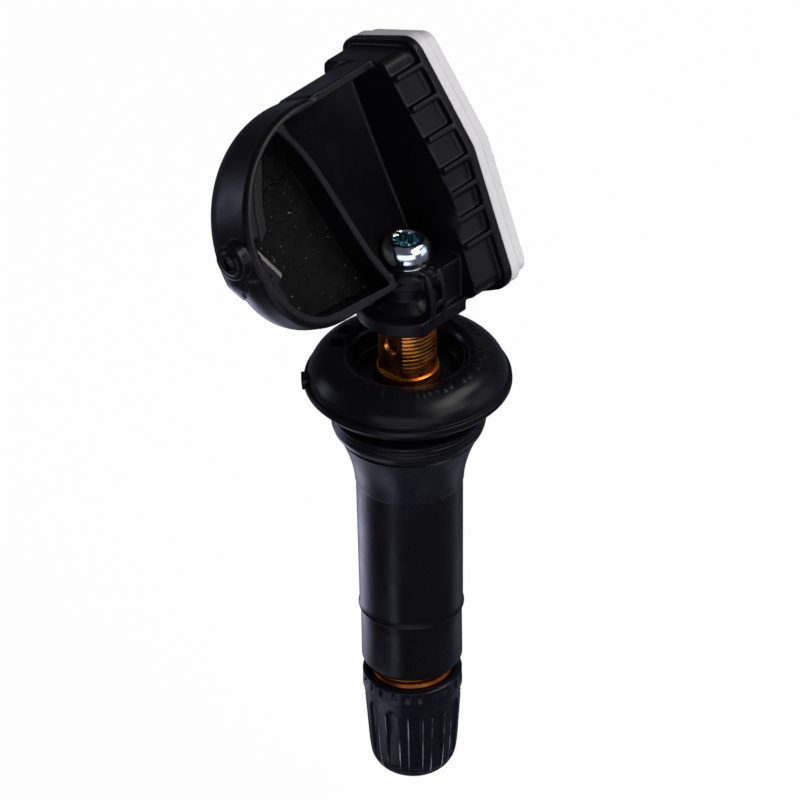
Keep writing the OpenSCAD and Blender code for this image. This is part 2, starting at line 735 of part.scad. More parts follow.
// Cup crimped on the pin's inner end, with its seal on the barrel's mouth
module core_cup() {
    color("#c9a24e") translate([0, 0, barrel_end]) difference() {
        translate([0, 0, 0.15]) cylinder(r = cup_r, h = cup_h - 0.15);
        translate([0, 0, -1]) cylinder(r = cup_r - 0.25, h = 1 + cup_seal_t + bond);
        translate([0, 0, -1]) cylinder(r = core_pin_d / 2 + bond, h = 5);
    }
}
module core_cup_seal() {
    color("#202024") translate([0, 0, barrel_end + 0.02]) difference() {
        cylinder(r = cup_r - 0.25 - bond, h = cup_seal_t - 0.02);
        translate([0, 0, -1]) cylinder(r = core_pin_d / 2 + bond, h = 5);
    }
}

// Coil of round wire, swept along a helix with a flat turn at each end
function helix_z(i, n) = min(max((i / n * (spring_turns + 2) - 1) / spring_turns, 0), 1);
module core_spring() {
    r = spring_wire_d / 2;
    coil_r = spring_od / 2 - r - 0.02;
    z0 = spring_foot + r + 0.02;
    z1 = spring_head - r - 0.02;
    per_turn = 16;
    sides = 8;
    n = (spring_turns + 2) * per_turn;
    gap = spring_wire_d * 1.06;
    function spine(i) = let (a = 360 * i / per_turn, f = helix_z(i, n),
        end = (i < per_turn ? i / per_turn - 1 : 0) + (i > n - per_turn ? (i - n) / per_turn + 1 : 0))
        [a, z0 + gap + (z1 - z0 - 2 * gap) * f + gap * end];
    points = [for (i = [0 : n]) let (s = spine(i)) for (k = [0 : sides - 1]) let (b = 360 * k / sides)
        [(coil_r + r * cos(b)) * cos(s[0]), (coil_r + r * cos(b)) * sin(s[0]), s[1] + r * sin(b)]];
    walls = [for (i = [0 : n - 1], k = [0 : sides - 1]) let (k1 = (k + 1) % sides)
        [i * sides + k, i * sides + k1, (i + 1) * sides + k1, (i + 1) * sides + k]];
    first = [[for (k = [sides - 1 : -1 : 0]) k]];
    last = [[for (k = [0 : sides - 1]) n * sides + k]];
    color("#c0c4c8") polyhedron(points, concat(first, walls, last), convexity = 10);
}

// One flute of the cap, leaning with the taper of its side, with a pointed top
module cap_flute() {
    length = cap_len - cap_band + 1;
    lean = atan(cap_taper / (cap_len - cap_round - 1.8));
    rotate([0, lean, 0]) {
        translate([0, 0, -length]) cylinder(r = flute_r, h = length);
        translate([0, 0, -eps]) cylinder(r1 = flute_r, r2 = 0.1, h = flute_r);
    }
}

module valve_cap() {
    r = cap_d / 2;
    side_r = r - 0.14;
    thread_r = thread_d / 2 + fit;
    bore_end = mouth_z - 0.9;
    notch_w = 0.44;
    color("#1b1b20") difference() {
        rotate_extrude($fn = 96) polygon(concat(
            [[0, cap_end]],
            arc([side_r - cap_taper - cap_round, cap_end + cap_round], cap_round, 270, 358, 8),
            [[side_r, cap_top - 1.8], [r, cap_top - 1.7], [r, cap_top - 0.2], [r - 0.2, cap_top],
             [0, cap_top]]));
        translate([0, 0, bore_end]) cylinder(r = thread_r, h = 20);
        translate([0, 0, cap_top - 0.5]) cylinder(r1 = thread_r, r2 = thread_r + 0.2, h = 0.6);
        for (i = [0 : cap_flutes - 1]) rotate(i * 360 / cap_flutes + 15)
            translate([side_r + flute_r - flute_depth, 0, cap_top - cap_band]) cap_flute();
        for (i = [0 : 2 * cap_flutes - 1]) rotate(i * 180 / cap_flutes)
            translate([r - 0.18, -notch_w / 2, cap_top - 1]) cube([1, notch_w, 0.55]);
    }
}

module cap_seal() {
    color("#77777c") translate([0, 0, mouth_z - 0.88]) difference() {
        cylinder(r = thread_d / 2 - 0.15, h = 0.8);
        translate([0, 0, 0.3]) cylinder(r = 1.6, h = 2);
    }
}

rubber_body();
brass_stem();
core_body();
core_gasket();
core_pin();
core_cup();
core_cup_seal();
core_spring();
valve_cap();
cap_seal();
mounting_screw();
sensor_housing();
base_lid();
circuit_board();
coin_cell();
cell_tab_positive();
cell_tab_negative();
pressure_chip();
radio_chip();
quartz_crystal();
chip_capacitors();
coil_core();
trigger_coil();
antenna_wire();
port_filter();
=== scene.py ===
import json
import math
import bpy
import bmesh
import numpy as np
from mathutils import Matrix, Vector


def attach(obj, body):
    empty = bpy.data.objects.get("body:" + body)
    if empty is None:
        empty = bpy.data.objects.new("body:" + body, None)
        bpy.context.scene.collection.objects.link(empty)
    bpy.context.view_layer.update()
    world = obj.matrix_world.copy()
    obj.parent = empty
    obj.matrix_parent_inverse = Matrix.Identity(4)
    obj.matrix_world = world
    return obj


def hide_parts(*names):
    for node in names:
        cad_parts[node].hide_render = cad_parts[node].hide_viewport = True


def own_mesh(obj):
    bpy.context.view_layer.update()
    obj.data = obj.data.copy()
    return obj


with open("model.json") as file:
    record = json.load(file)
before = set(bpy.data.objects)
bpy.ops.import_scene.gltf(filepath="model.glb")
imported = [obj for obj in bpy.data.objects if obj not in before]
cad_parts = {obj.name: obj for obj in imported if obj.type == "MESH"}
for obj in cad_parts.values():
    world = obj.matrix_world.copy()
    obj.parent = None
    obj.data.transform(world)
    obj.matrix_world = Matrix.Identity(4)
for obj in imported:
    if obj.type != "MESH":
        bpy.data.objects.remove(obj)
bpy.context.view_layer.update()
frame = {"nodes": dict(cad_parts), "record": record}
nodes = frame["nodes"]
MM = 0.001


def reach(node):
    """Lowest and highest corner of a CAD node, in millimetres."""
    o = nodes[node]
    pts = [o.matrix_world @ v.co / MM for v in o.data.vertices]
    return [min(p[i] for p in pts) for i in range(3)], [max(p[i] for p in pts) for i in range(3)]


# Sizes taken from the CAD nodes, in millimetres
low, high = reach("rubber_body")
RUBBER_END, FLANGE_R, CREST = low[2], high[0], high[2]
low, high = reach("valve_cap")
CAP_END, CAP_TOP, CAP_R = low[2], high[2], high[0]
low, high = reach("brass_stem")
MOUTH, POST_END, THREAD_R = low[2], high[2], high[0]
low, high = reach("mounting_screw")
HEAD_TOP, HEAD_R = high[2], high[0]

# Sizes of the turned forms, in millimetres
TUBE_R, POST_R, RING_H, FLAT_X = 2.95, 2.7, 0.95, -2.3
RECESS_R, RECESS_FLOOR = 5.2, 2.0
THREAD_PITCH, THREAD_DEPTH = 0.794, 0.2
POST_PITCH, POST_DEPTH = 0.42, 0.06
AIR_HOLE_R, AIR_HOLE_Z = 0.8, 6.0
NECK_TOP, NECK_END = -4.3, -9.5

# Stands for the axis, so that no points of an outline fall together there
AXIS_R = 0.001

# How far the joints move, in millimetres
CAP_TRAVEL, CORE_TRAVEL = 10.5, 1.2


# Camera: angles in degrees, distance in metres, scale in pixels a metre at that distance
AZIMUTH, ELEVATION, LEAN = -47.8, 34.5, 0.9
DISTANCE, SCALE = 0.9, 10900.0
PHOTO_SIZE, SENSOR = 800, 36
TARGET = Vector((0, 0, 1.5 * MM))
SHIFT_RIGHT, SHIFT_UP = 8, 24


def put(name, data):
    """New object in the scene."""
    o = bpy.data.objects.new(name, data)
    bpy.context.scene.collection.objects.link(o)
    return o


def make_camera():
    """The photograph's view. Returns its right, up and back directions."""
    az, el, lean = math.radians(AZIMUTH), math.radians(ELEVATION), math.radians(LEAN)
    right = Vector((math.cos(az), math.sin(az), 0))
    up = Vector((-math.sin(az) * math.sin(el), math.cos(az) * math.sin(el), math.cos(el)))
    back = right.cross(up)
    r = math.cos(lean) * right - math.sin(lean) * up
    u = math.sin(lean) * right + math.cos(lean) * up
    data = bpy.data.cameras.new("camera")
    data.sensor_width = SENSOR
    data.lens = DISTANCE * SCALE / PHOTO_SIZE * SENSOR
    data.clip_start, data.clip_end = 0.05, 20
    cam = put("camera", data)
    cam.matrix_world = Matrix((r, u, back)).transposed().to_4x4()
    cam.location = TARGET - r * (SHIFT_RIGHT / SCALE) - u * (SHIFT_UP / SCALE) + back * DISTANCE
    bpy.context.scene.camera = cam
    return r, u, back


RIGHT, UP, BACK = make_camera()


# Materials
class Mat:
    """A node material on one Principled shader, with helpers for its texture nodes."""

    def __init__(self, name, color, rough, metal=0.0, spec=0.5):
        self.name = name
        self.color = color
        self.material = bpy.data.materials.new(name)
        self.material.use_nodes = True
        self.tree = self.material.node_tree
        self.shader = self.tree.nodes["Principled BSDF"]
        self.shader.inputs["Base Color"].default_value = (*color, 1)
        self.shader.inputs["Roughness"].default_value = rough
        self.shader.inputs["Metallic"].default_value = metal
        self.shader.inputs["Specular IOR Level"].default_value = spec
        self.coord = self.add("ShaderNodeTexCoord").outputs["Object"]
        self.normal = None

    def add(self, kind, **values):
        """New node, with each value set as an input or else as an attribute."""
        n = self.tree.nodes.new(kind)
        for k, v in values.items():
            if k in n.inputs:
                n.inputs[k].default_value = v
            else:
                setattr(n, k, v)
        return n

    def link(self, a, b):
        self.tree.links.new(a, b)

    def noise(self, scale, detail=3, stretch=None, rough=0.55):
        """Noise texture in the object's own metres."""
        n = self.add("ShaderNodeTexNoise", Scale=scale, Detail=detail, Roughness=rough)
        src = self.coord
        if stretch:
            mp = self.add("ShaderNodeMapping", Scale=stretch)
            self.link(src, mp.inputs["Vector"])
            src = mp.outputs["Vector"]
        self.link(src, n.inputs["Vector"])
        return n.outputs["Fac"]

    def spread(self, fac, low, high, a=0.3, b=0.7):
        """Maps a texture's values from a to b onto low to high."""
        n = self.add("ShaderNodeMapRange")
        n.inputs["From Min"].default_value, n.inputs["From Max"].default_value = a, b
        n.inputs["To Min"].default_value, n.inputs["To Max"].default_value = low, high
        self.link(fac, n.inputs["Value"])
        return n.outputs["Result"]

    def tint(self, fac, other, a=0.3, b=0.7):
        """Mixes the base colour with another by a texture."""
        n = self.add("ShaderNodeMix", data_type="RGBA")
        self.link(self.spread(fac, 0, 1, a, b), n.inputs["Factor"])
        old = self.shader.inputs["Base Color"]
        if old.is_linked:
            self.link(old.links[0].from_socket, n.inputs["A"])
        else:
            n.inputs["A"].default_value = (*self.color, 1)
        n.inputs["B"].default_value = (*other, 1)
        self.link(n.outputs["Result"], old)

    def roughen(self, fac, low, high):
        self.link(self.spread(fac, low, high), self.shader.inputs["Roughness"])

    def chain(self, n):
        """Puts a node that changes the normal after those added before."""
        if self.normal:
            self.link(self.normal, n.inputs["Normal"])
        self.normal = n.outputs["Normal"]
        self.link(self.normal, self.shader.inputs["Normal"])

    def bump(self, fac, microns):
        n = self.add("ShaderNodeBump", Strength=1.0, Distance=microns / 1e6)
        self.link(fac, n.inputs["Height"])
        self.chain(n)

    def soften(self, radius):
        """Rounds sharp edges in the shading."""
        self.chain(self.add("ShaderNodeBevel", Radius=radius, samples=6))


def black_plastic(name, color, rough, grain, depth, spec):
    """Black moulded plastic or rubber, with a grain of a noise scale and of a depth in microns."""
    m = Mat(name, color, rough, spec=spec)
    m.bump(m.noise(grain, 4), depth)
    m.bump(m.noise(420, 2), 20)
    m.roughen(m.noise(300, 4), rough - 0.08, rough + 0.09)
    m.tint(m.noise(160, 3), tuple(c * 1.5 for c in color))
    return m


def neck_sheen_rubber():
    """The flared neck, a lighter rubber whose pale mottling paints the sheen reflected on the flare."""
    m = black_plastic("neck_sheen_rubber", (0.005, 0.005, 0.008), 0.32, 1800, 12, 0.16)
    # Pale mottling: painted sheen on the flare.
    m.tint(m.noise(260, 5, rough=0.7), (0.02, 0.02, 0.028), 0.52, 0.8)
    return m


def pocket_floor():
    """The drum's rough sunk face, darker than the housing as painted shade, with pale specks as painted
    glints.
    """
    m = Mat("pocket_floor", (0.0012, 0.0012, 0.0016), 0.5, spec=0.07)
    m.bump(m.noise(900, 6, rough=0.75), 120)
    m.bump(m.noise(4200, 3), 30)
    m.roughen(m.noise(1500, 4), 0.4, 0.75)
    m.tint(m.noise(700, 4), (0.0035, 0.0035, 0.004))
    # Pale specks: painted glints on the rough face.
    m.tint(m.noise(2600, 2), (0.12, 0.12, 0.13), 0.7, 0.76)
    return m


def flute_rim_highlight():
    """The cap's flute rims, whose pale lavender colour paints their highlight."""
    m = black_plastic("flute_rim_highlight", (0.012, 0.012, 0.018), 0.3, 2200, 6, 0.2)
    # Pale lavender streaks: painted highlight on the rims.
    m.tint(m.noise(1300, 3, stretch=(1, 1, 0.25)), (0.34, 0.34, 0.42), 0.42, 0.66)
    return m


def lid_plastic():
    m = Mat("lid_plastic", (0.61, 0.61, 0.62), 0.42, spec=0.45)
    m.soften(0.25 * MM)
    m.bump(m.noise(1800, 4), 8)
    m.tint(m.noise(120, 3), (0.57, 0.57, 0.59))
    m.roughen(m.noise(500, 3), 0.34, 0.5)
    return m


def stem_brass():
    m = Mat("stem_brass", (0.80, 0.34, 0.06), 0.26, metal=1)
    m.tint(m.noise(500, 4), (0.60, 0.17, 0.025))
    m.roughen(m.noise(900, 4), 0.2, 0.42)
    m.bump(m.noise(700, 3, stretch=(1, 1, 14)), 10)
    return m


def core_brass():
    m = Mat("core_brass", (0.72, 0.55, 0.22), 0.3, metal=1)
    m.roughen(m.noise(900, 4), 0.22, 0.42)
    m.bump(m.noise(700, 3, stretch=(1, 1, 14)), 8)
    return m


def screw_zinc():
    m = Mat("screw_zinc", (0.90, 0.93, 0.94), 0.14, metal=1)
    m.tint(m.noise(380, 3), (0.70, 0.84, 0.88))
    m.roughen(m.noise(1400, 4), 0.08, 0.24)
    m.bump(m.noise(1300, 3), 6)
    return m


def plain_finish(name, color, rough, metal):
    """A finish with slight changes of tone, gloss and grain."""
    m = Mat(name, color, rough, metal)
    m.tint(m.noise(600, 4), tuple(c * 0.72 for c in color))
    m.roughen(m.noise(1200, 3), max(rough - 0.08, 0.05), rough + 0.1)
    m.bump(m.noise(2400, 4), 8)
    return m


# Name, colour, roughness and metal of each plain finish
PLAIN_FINISHES = (
    # A darker, teal copy of the zinc paints the shade in the drive recess.
    ("shaded_recess_zinc", (0.20, 0.42, 0.48), 0.2, 1),
    # Darker brass at the mouth: painted shade in the groove between tail and cap.
    ("shaded_mouth_brass", (0.27, 0.078, 0.012), 0.34, 1),
    # Pale colour on the rim's sloped edge: painted highlight.
    ("slope_highlight", (0.22, 0.21, 0.20), 0.5, 0),
    # Lighter grey on the pocket's left wall: painted light where it is lit.
    ("pocket_slope", (0.020, 0.020, 0.021), 0.5, 0),
    ("spring_steel", (0.62, 0.63, 0.65), 0.25, 1),
    ("cell_steel", (0.62, 0.63, 0.64), 0.3, 1),
    ("tab_nickel", (0.66, 0.63, 0.55), 0.35, 1),
    ("crystal_metal", (0.7, 0.71, 0.72), 0.28, 1),
    ("core_rubber", (0.014, 0.014, 0.016), 0.6, 0),
    ("gasket_red", (0.30, 0.02, 0.015), 0.5, 0),
    ("seal_rubber", (0.10, 0.10, 0.105), 0.6, 0),
    ("board_green", (0.006, 0.085, 0.03), 0.35, 0),
    ("chip_black", (0.015, 0.015, 0.017), 0.5, 0),
    ("capacitor_tan", (0.38, 0.24, 0.11), 0.45, 0),
    ("ferrite", (0.055, 0.055, 0.06), 0.55, 0),
    ("copper_wire", (0.62, 0.20, 0.06), 0.3, 1),
    # Dark grey on the white filter: painted shade in the port's recess.
    ("filter_white", (0.05, 0.05, 0.055), 0.8, 0),
)


def make_materials():
    """All materials by name."""
    made = [
        black_plastic("valve_rubber", (0.003, 0.003, 0.0045), 0.25, 1800, 6, 0.14),
        black_plastic("housing_plastic", (0.0022, 0.0021, 0.0032), 0.34, 3200, 10, 0.17),
        black_plastic("cap_plastic", (0.0035, 0.0035, 0.0075), 0.22, 2200, 6, 0.2),
        neck_sheen_rubber(), pocket_floor(), flute_rim_highlight(), lid_plastic(),
        stem_brass(), core_brass(), screw_zinc(),
    ]
    made += [plain_finish(*row) for row in PLAIN_FINISHES]
    return {m.name: m for m in made}


MATS = make_materials()
for sub in frame["record"]["subparts"]:
    o = nodes[sub["node"]]
    if not o.material_slots:
        o.data.materials.append(None)
    for s in o.material_slots:
        s.material = MATS[sub["material_slot"]].material


# Mesh helpers
def mesh_object(name, verts, faces):
    """New object from points in metres and faces."""
    me = bpy.data.meshes.new(name)
    me.from_pydata([tuple(v) for v in verts], [], faces)
    return put(name, me)


def dress(o, mat, body, replaced=()):
    """Gives a piece its material, its smooth shading and what the frame has to know."""
    o.data.materials.clear()
    o.data.materials.append(mat.material)
    o.data.polygons.foreach_set("use_smooth", [True] * len(o.data.polygons))
    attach(o, body)
    if replaced:
        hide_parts(*replaced)


def piece(name, verts, faces, mat, body, replaced=()):
    """New dressed piece from points in metres and faces."""
    o = mesh_object(name, verts, faces)
    o.data.validate()
    o.data.update()
    dress(o, mat, body, replaced)
    return o


def repaint(o, mat, choose):
    """Gives one more material to the faces whose centre, in millimetres, is chosen."""
    o.data.materials.append(mat.material)
    c = np.zeros(len(o.data.polygons) * 3, np.float32)
    o.data.polygons.foreach_get("center", c)
    index = np.zeros(len(o.data.polygons), np.int32)
    o.data.polygons.foreach_get("material_index", index)
    picked = choose(c.reshape(-1, 3) / MM)
    index[picked] = len(o.data.materials) - 1
    o.data.polygons.foreach_set("material_index", index)


def arc(r, z, reach_r, reach_z, start, stop, n):
    """Points of a part of an ellipse round (r, z), from one angle to another in degrees."""
    turns = [math.radians(start + (stop - start) * k / n) for k in range(n + 1)]
    return [(r + reach_r * math.cos(t), z + reach_z * math.sin(t)) for t in turns]


NEARLY_STRAIGHT = math.radians(88.5)
EDGE_SHARE = 0.48


def fillet(points, seg):
    """Rounds each corner (r, z, radius) of a closed outline in millimetres."""
    out = []
    n = len(points)
    for i, p in enumerate(points):
        rad = p[2] if len(p) > 2 else 0
        b = np.array(p[:2], float)
        if rad <= 0:
            out.append(b)
            continue
        a, c = np.array(points[i - 1][:2], float), np.array(points[(i + 1) % n][:2], float)
        u, v = a - b, c - b
        lu, lv = np.linalg.norm(u), np.linalg.norm(v)
        u, v = u / lu, v / lv
        half = math.acos(max(-1, min(1, float(u @ v)))) / 2
        if half > NEARLY_STRAIGHT:
            out.append(b)
            continue
        cut = min(rad / math.tan(half), EDGE_SHARE * lu, EDGE_SHARE * lv)
        rad = cut * math.tan(half)
        centre = b + (u + v) / np.linalg.norm(u + v) * rad / math.sin(half)
        s, e = b + u * cut - centre, b + v * cut - centre
        for k in range(seg + 1):
            d = s * (seg - k) + e * k
            out.append(centre + rad * d / np.linalg.norm(d))
    return out


COARSE_STEP = 2.0


def refine(points, step, fine=lambda p, q: True):
    """Adds points along the outline's long edges, fewer where they aren't fine."""
    out = []
    n = len(points)
    for i, p in enumerate(points):
        q = points[(i + 1) % n]
        k = max(1, int(np.linalg.norm(np.array(q) - p) / (step if fine(p, q) else COARSE_STEP)))
        out += [p + (q - p) * j / k for j in range(k)]
    return out


def lathe(outline, n, shape):
    """Turns a closed outline in millimetres about Z, into points in metres and faces.

    shape(angle, r, z) may move each point.
    """
    prof = np.array(outline)
    ang = np.arange(n) * 2 * math.pi / n
    a, r = np.meshgrid(ang, prof[:, 0], indexing="ij")
    _, z = np.meshgrid(ang, prof[:, 1], indexing="ij")
    r, z = shape(a, r.copy(), z.copy())
    v = np.stack([r * np.cos(a), r * np.sin(a), z], -1).reshape(-1, 3) * MM
    m = len(prof)
    faces = [(i * m + j, ((i + 1) % n) * m + j, ((i + 1) % n) * m + (j + 1) % m, i * m + (j + 1) % m)
             for i in range(n) for j in range(m)]
    return v, faces


def bump_at(a, a0, half, soft):
    """1 within half of angle a0, falling to 0 over soft."""
    d = np.abs((a - a0 + math.pi) % (2 * math.pi) - math.pi)
    return np.clip((half + soft - d) / soft, 0, 1)


def band(x, lo, hi, soft):
    """1 between lo and hi, 0 outside, with soft edges."""
    return np.clip((x - lo) / soft + 0.5, 0, 1) * np.clip((hi - x) / soft + 0.5, 0, 1)


def prism_faces(n):
    """Faces of a closed prism between two ends of n points each."""
    sides = [(k, (k + 1) % n, n + (k + 1) % n, n + k) for k in range(n)]
    return sides + [tuple(range(n - 1, -1, -1)), tuple(range(n, 2 * n))]


def cutter(verts):
    """Closed prism with outward faces, from the points of its one end and then its other."""
    o = mesh_object("cutter", verts, prism_faces(len(verts) // 2))
    bm = bmesh.new()
    bm.from_mesh(o.data)
    bmesh.ops.recalc_face_normals(bm, faces=bm.faces)
    bm.to_mesh(o.data)
    bm.free()
    return o


def baked(o, name):
    """Mesh of an object with its modifiers applied, as a new object; the old one goes."""
    dg = bpy.context.evaluated_depsgraph_get()
    me = bpy.data.meshes.new_from_object(o.evaluated_get(dg), depsgraph=dg)
    me.name = name
    new = put(name, me)
    bpy.data.objects.remove(o, do_unlink=True)
    return new


def subtract(o, cut, name):
    """The object without what the cutter takes off, as a new object; both old ones go."""
    m = o.modifiers.new("cut", "BOOLEAN")
    m.operation, m.solver, m.object = "DIFFERENCE", "EXACT", cut
    new = baked(o, name)
    bpy.data.objects.remove(cut, do_unlink=True)
    return new


# Rubber valve
SHOULDER_Z = 2.6

# Ticks round the shoulder from one angle in degrees to another, with the half width in radians
# and the inner and outer radius of each form
TICK_START, TICK_STOP = -188, -8
TICK_FORMS = ((0.014, 6.55, 7.45), (0.024, 6.7, 7.3), (0.034, 6.55, 7.2), (0.05, 6.9, 7.1))
TICK_GAP, WIDE_GAP, GAP_CHANCE = 0.05, 0.16, 0.8
TICK_HEIGHT, TICK_SOFT = 0.1, 0.012

# Angle in degrees and half width in radians of each sunk pad
PADS = ((121, 0.1), (101, 0.09))
PAD_DEPTH = 0.45

# Sizes of the rubber's outline, in millimetres
LIP_R, SHOULDER_R = 1.05, 2.86
NECK_R, FLARE = 5.05, 1.47
TAIL_R, BEAD_H = 4.7, 6.2
FLARE_STEPS, RUBBER_STEPS = 24, 330


def flange_marks(a, r, z):
    """Generic moulded ticks in a ring on the flange's inner shoulder, and two sunk pads."""
    top = (z > SHOULDER_Z)
    lift = np.zeros_like(z)
    rng = np.random.default_rng(7)
    at, stop = math.radians(TICK_START), math.radians(TICK_STOP)
    while at < stop:
        wide, lo, hi = TICK_FORMS[rng.integers(0, len(TICK_FORMS))]
        lift = np.maximum(lift, bump_at(a, at, wide, TICK_SOFT) * band(r, lo, hi, 0.14))
        at += wide * 2 + (TICK_GAP if rng.random() < GAP_CHANCE else WIDE_GAP)
    z = z + top * lift * TICK_HEIGHT
    for a0, half in PADS:
        z = z - top * bump_at(a, math.radians(a0), half, TICK_SOFT) * band(r, 6.1, 7.1, 0.12) * PAD_DEPTH
    return r, z


def flange_outline():
    """Recess, lip, shoulder, rim and underside of the flange, down into the groove."""
    pts = [(TUBE_R + 0.01, RECESS_FLOOR), (RECESS_R - 0.2, RECESS_FLOOR, 0.35),
           (RECESS_R, CREST - 0.5, 0.4)]
    pts += arc(RECESS_R + 1.12, CREST - 1.06, LIP_R, LIP_R, 160, 85, 12)
    pts += arc(FLANGE_R - 3.2, CREST - SHOULDER_R, SHOULDER_R, SHOULDER_R, 84, 10, 20)
    pts += [(FLANGE_R - 0.41, 1.80, 0.05), (FLANGE_R - 0.05, 1.70, 0.1), (FLANGE_R, 1.2, 0.12),
            (FLANGE_R - 0.85, 0.28, 0.3), (FLANGE_R - 1.35, 0, 0.2), (6.05, 0, 0.1),
            (5.86, -0.2, 0.1), (5.86, -1.6, 0.12), (6.95, -1.7, 0.12)]
    return pts


def bulge_outline():
    """The bulge that snaps in, with three fine ribs."""
    pts = []
    z = -1.75
    for depth in (0.05, 0.04, 0.04):
        pts += [(7.13, z - 0.08, 0.04), (7.15, z - 0.36, 0.04), (7.15 - depth * 2, z - 0.42, 0.03)]
        z -= 0.45
    pts += [(7.12, -3.15, 0.1), (6.95, -3.65, 0.15), (6.42, -3.9, 0.12), (6.38, -4.12, 0.08),
            (6.56, -4.28, 0.06)]
    return pts


def neck_outline():
    """The flared neck and the small step where it ends."""
    pts = []
    for k in range(1, FLARE_STEPS + 1):
        t = k / FLARE_STEPS
        r = NECK_R + FLARE * (0.82 * (1 - t) ** 1.8 + 0.18 * (1 - t))
        pts.append((r, NECK_TOP - (NECK_TOP - NECK_END - 0.05) * t))
    pts += [(NECK_R - 0.02, NECK_END, 0.03), (NECK_R - 0.09, NECK_END - 0.1, 0.05)]
    return pts


def tail_outline():
    """The bead, the tail and the mouth round the stem."""
    bead = RUBBER_END + BEAD_H
    return [(TAIL_R + 0.12, bead + 0.35), (TAIL_R + 0.24, bead + 0.1, 0.06),
            (TAIL_R - 0.06, bead - 0.18, 0.08), (TAIL_R, bead - 0.6),
            (TAIL_R, RUBBER_END + 0.45, 0.35), (TAIL_R - 0.35, RUBBER_END, 0.2),
            (THREAD_R + 0.02, RUBBER_END), (THREAD_R + 0.02, RUBBER_END + 0.8),
            (TUBE_R + 0.01, RUBBER_END + 2)]


def make_rubber():
    pts = flange_outline() + bulge_outline() + neck_outline() + tail_outline()
    prof = refine(fillet(pts, 4), 0.55)
    v, f = lathe(prof, RUBBER_STEPS, flange_marks)
    o = piece("rubber_skin", v, f, MATS["valve_rubber"], "sensor", ["rubber_body"])

    def on_neck(c):
        high_up = (c[:, 2] > NECK_END - 0.02) & (c[:, 2] < NECK_TOP)
        return high_up & (np.hypot(c[:, 0], c[:, 1]) > 4)

    # The flare gets the lighter rubber with the painted sheen.
    repaint(o, MATS["neck_sheen_rubber"], on_neck)


# Moulding tag at the flange's edge
TAB_TURN, TAB_Z = math.radians(136), 1.62
TAB_SIZE, TAB_BEVEL = (1.0, 1.5, 1.1), 0.1


def make_flash_tab():
    bm = bmesh.new()
    bmesh.ops.create_cube(bm, size=1)
    for w in bm.verts:
        w.co = Vector((w.co.x * TAB_SIZE[0], w.co.y * TAB_SIZE[1], w.co.z * TAB_SIZE[2]))
    bmesh.ops.bevel(bm, geom=bm.edges[:], offset=TAB_BEVEL, segments=3, profile=0.5, affect="EDGES")
    r = FLANGE_R - 0.3
    place = Matrix.Translation(Vector((r * math.cos(TAB_TURN), r * math.sin(TAB_TURN), TAB_Z)) * MM)
    place = place @ Matrix.Rotation(TAB_TURN, 4, "Z")
    for w in bm.verts:
        w.co = place @ (w.co * MM)
    me = bpy.data.meshes.new("flash_tab")
    bm.to_mesh(me)
    bm.free()
    o = put("flash_tab", me)
    dress(o, MATS["valve_rubber"], "sensor")


# Valve cap
FLUTE, FLUTE_START = 2 * math.pi / 12, math.radians(15)
FLUTE_TOP, FLUTE_HALF, FLUTE_DEPTH = CAP_TOP - 2.75, 0.66, 0.36
RIM_H, RIM_OFFSET, RIM_WIDTH = 0.08, 0.05, 0.09
NOTCHES, NOTCH_DEPTH = 22, 0.24
DOME_R = 2.5
CAP_STEPS = 640


def flute_offset(a):
    """Distance round the cap from the middle of the nearest flute."""
    d = (a - FLUTE_START) % FLUTE
    return np.minimum(d, FLUTE - d) * CAP_R


def cap_shape(a, r, z):
    """Cuts the flutes with their raised rims, and the notches in the band."""
    outer = ((r > 3.99) | (z < MOUTH - 1)) & (r > 0.5)
    d = flute_offset(a)
    below_top = np.clip((FLUTE_TOP - z) / FLUTE_HALF, 0, 1)
    wide = FLUTE_HALF * np.sqrt(1 - (1 - below_top) ** 2)
    inside = np.clip(1 - (d / np.maximum(wide, 1e-6)) ** 2, 0, 1)
    deep = FLUTE_DEPTH * inside ** 0.35
    edge = np.exp(-((d - wide - RIM_OFFSET) / RIM_WIDTH) ** 2) * RIM_H * (below_top > 0)
    edge = edge * np.clip((z - CAP_END - 2) / 1.5, 0, 1)
    fade = np.clip((z - CAP_END - 1.1) / 1.5, 0, 1)
    r = r - outer * (z < FLUTE_TOP) * fade * (deep - edge)
    rng = np.random.default_rng(5)
    notch = np.zeros_like(z)
    for k in range(NOTCHES):
        at, half = 2 * math.pi * (k + 0.3 * rng.random()) / NOTCHES, 0.03 + 0.05 * rng.random()
        foot = CAP_TOP - 0.75 - 0.35 * rng.random()
        notch = np.maximum(notch, bump_at(a, at, half, 0.012) * band(z, foot, CAP_TOP - 0.25, 0.06))
    return r - outer * notch * NOTCH_DEPTH, z


# Faces along the flute rims, for the painted highlight.
def on_flute_rim(c):
    off = np.abs(flute_offset(np.arctan2(c[:, 1], c[:, 0])) - 0.73)
    z = c[:, 2]
    level = (z < CAP_TOP - 3.3) & (z > CAP_END + 1.1)
    return (off < 0.05) & level & (np.hypot(c[:, 0], c[:, 1]) > 3.8)


